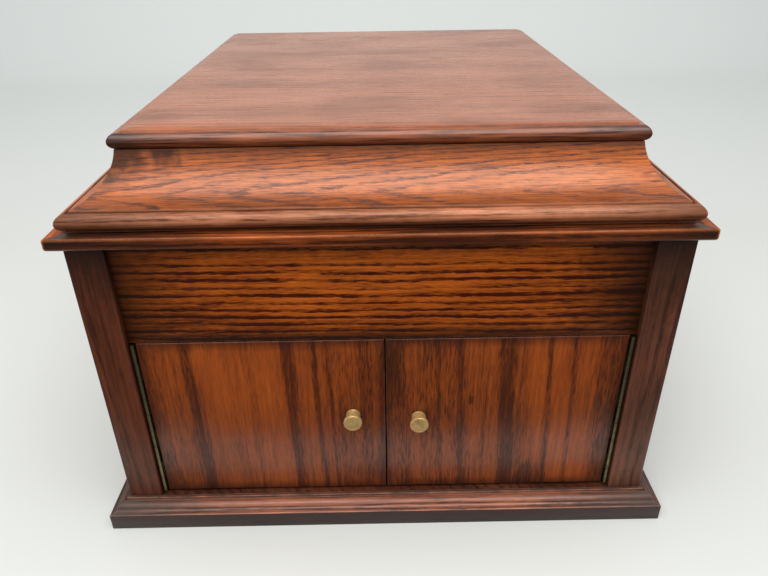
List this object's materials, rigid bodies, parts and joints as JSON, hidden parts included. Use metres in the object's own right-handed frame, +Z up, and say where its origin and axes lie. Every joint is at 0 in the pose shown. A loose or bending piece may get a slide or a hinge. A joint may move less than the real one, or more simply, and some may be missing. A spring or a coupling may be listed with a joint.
{
  "type": "tabletop gramophone",
  "caption": "Lidded oak tabletop gramophone with two horn doors, a spring motor with turntable and governor, a swinging tonearm with soundbox, and a winding crank.",
  "frame": {"origin": "centre of the case's underside, on the middle bearer of the base board", "axes": "+Z up, the doors face -Y, the winding crank is on the +X side"},
  "size_m": [0.5211, 0.518, 0.308],
  "materials": {
    "oak": "stained and waxed oak",
    "oak_dark": "dark stained oak",
    "deal": "plain softwood",
    "brass": "tarnished brass",
    "gear_brass": "machined brass",
    "nickel": "nickel plate",
    "iron": "japanned casting",
    "steel": "oiled steel",
    "felt": "green baize",
    "rubber": "red-brown rubber",
    "mica": "mica sheet",
    "ebonised": "ebonised hardwood"
  },
  "bodies": {
    "case": {"plinth_moulding": "oak_dark", "base_board": "deal", "side_left": "oak", "side_right": "oak", "back_panel": "oak", "front_stiles": "oak_dark", "fascia_panel": "oak", "inner_battens": "deal", "cornice_frame": "oak", "motor_board": "oak", "horn": "deal", "horn_elbow": "iron", "tonearm_bracket": "nickel", "arm_rest": "nickel", "needle_cups": "nickel", "speed_dial": "brass", "winding_escutcheon": "brass", "hinge_fixed_leaves": "brass", "hinge_pins": "brass", "lid_stay_bracket": "brass", "case_screws": "brass", "bedplate": "iron", "bottom_plate": "iron", "motor_pillars": "steel", "motor_cushions": "rubber", "motor_brackets": "brass"},
    "lid": {"lid_top_board": "oak", "lid_cove": "oak", "lid_rim": "oak", "lid_hinge_leaves": "brass", "lid_stay_plate": "brass"},
    "lid_stay": {"lid_stay_arm": "brass"},
    "left_door": {"door_left": "oak", "door_leaf_left": "brass", "knob_left": "brass"},
    "right_door": {"door_right": "oak", "door_leaf_right": "brass", "knob_right": "brass"},
    "turntable": {"platter": "steel", "platter_felt": "felt", "spindle": "steel"},
    "middle_wheel": {"middle_gear": "gear_brass"},
    "barrel": {"spring_barrel": "gear_brass", "mainspring": "steel"},
    "winding_wheel": {"winding_arbor": "steel"},
    "crank": {"winding_shaft": "steel", "crank_arm": "nickel"},
    "grip": {"crank_grip": "ebonised"},
    "governor_shaft": {"governor": "steel"},
    "regulator": {"regulator_lever": "brass"},
    "speed_control": {"speed_knob": "brass"},
    "brake": {"brake_lever": "nickel"},
    "arm": {"tonearm": "nickel"},
    "soundbox_carrier": {"gooseneck": "nickel", "soundbox": "nickel", "diaphragm": "mica", "soundbox_gaskets": "rubber", "needle_bar": "steel", "needle": "steel"},
    "needle_clamp": {"needle_screw": "nickel"}
  },
  "joints": [
    {"name": "lid_open", "type": "hinge", "parent": "case", "child": "lid", "pos_m": [0, 0.2481, 0.25215], "axis": [-1, 0, 0], "range_deg": [0, 75]},
    {"name": "lid_stay_turn", "type": "hinge", "parent": "lid", "child": "lid_stay", "pos_m": [0.18345, 0.20858, 0.2583], "axis": [-1, 0, 0], "range_deg": [-38, 0]},
    {"name": "left_door_open", "type": "hinge", "parent": "case", "child": "left_door", "pos_m": [-0.17745, -0.2405, 0.0937], "axis": [0, 0, -1], "range_deg": [0, 105]},
    {"name": "right_door_open", "type": "hinge", "parent": "case", "child": "right_door", "pos_m": [0.17745, -0.2405, 0.0937], "axis": [0, 0, 1], "range_deg": [0, 105]},
    {"name": "turntable_spin", "type": "hinge", "parent": "case", "child": "turntable", "pos_m": [-0.03, -0.06, 0.2], "axis": [0, 0, 1], "continuous": true},
    {"name": "middle_wheel_spin", "type": "hinge", "parent": "case", "child": "middle_wheel", "pos_m": [-0.01125, -0.02752, 0.14], "axis": [0, 0, 1], "continuous": true},
    {"name": "barrel_spin", "type": "hinge", "parent": "case", "child": "barrel", "pos_m": [0.04125, -0.02752, 0.13], "axis": [0, 0, 1], "continuous": true},
    {"name": "governor_spin", "type": "hinge", "parent": "case", "child": "governor_shaft", "pos_m": [-0.05515, -0.086, 0.15], "axis": [0, 1, 0], "continuous": true},
    {"name": "crank_turn", "type": "hinge", "parent": "case", "child": "crank", "pos_m": [0.2, -0.02752, 0.15761], "axis": [1, 0, 0], "continuous": true},
    {"name": "winding_wheel_turn", "type": "hinge", "parent": "case", "child": "winding_wheel", "pos_m": [0.04125, -0.02752, 0.14], "axis": [0, 0, 1], "continuous": true},
    {"name": "grip_spin", "type": "hinge", "parent": "crank", "child": "grip", "pos_m": [0.265, -0.02752, 0.04761], "axis": [1, 0, 0], "continuous": true},
    {"name": "speed_turn", "type": "hinge", "parent": "case", "child": "speed_control", "pos_m": [-0.092, -0.19, 0.186], "axis": [0, 0, 1], "range_deg": [-45, 45]},
    {"name": "regulator_swing", "type": "hinge", "parent": "case", "child": "regulator", "pos_m": [-0.08415, -0.128, 0.15], "axis": [0, 0, 1], "range_deg": [-3, 3]},
    {"name": "brake_release", "type": "hinge", "parent": "case", "child": "brake", "pos_m": [0.112, -0.095, 0.195], "axis": [0, 0, -1], "range_deg": [0, 15]},
    {"name": "tonearm_swing", "type": "hinge", "parent": "case", "child": "arm", "pos_m": [0.105, 0.12, 0.248], "axis": [0, 0, -1], "range_deg": [0, 33]},
    {"name": "soundbox_lift", "type": "hinge", "parent": "arm", "child": "soundbox_carrier", "pos_m": [0.105, -0.072, 0.248], "axis": [0, -1, 0], "range_deg": [0, 90]},
    {"name": "needle_screw_turn", "type": "hinge", "parent": "soundbox_carrier", "child": "needle_clamp", "pos_m": [0.1395, -0.111, 0.2165], "axis": [0, 1, 0], "continuous": true}
  ],
  "couplings": [
    {"joint": "lid_stay_turn", "follows": "lid_open", "ratio": -0.5},
    {"joint": "middle_wheel_spin", "follows": "turntable_spin", "ratio": -0.25},
    {"joint": "barrel_spin", "follows": "turntable_spin", "ratio": 0.041667},
    {"joint": "governor_spin", "follows": "turntable_spin", "ratio": 10},
    {"joint": "winding_wheel_turn", "follows": "crank_turn", "ratio": 0.25},
    {"joint": "regulator_swing", "follows": "speed_turn", "ratio": 0.06}
  ]
}
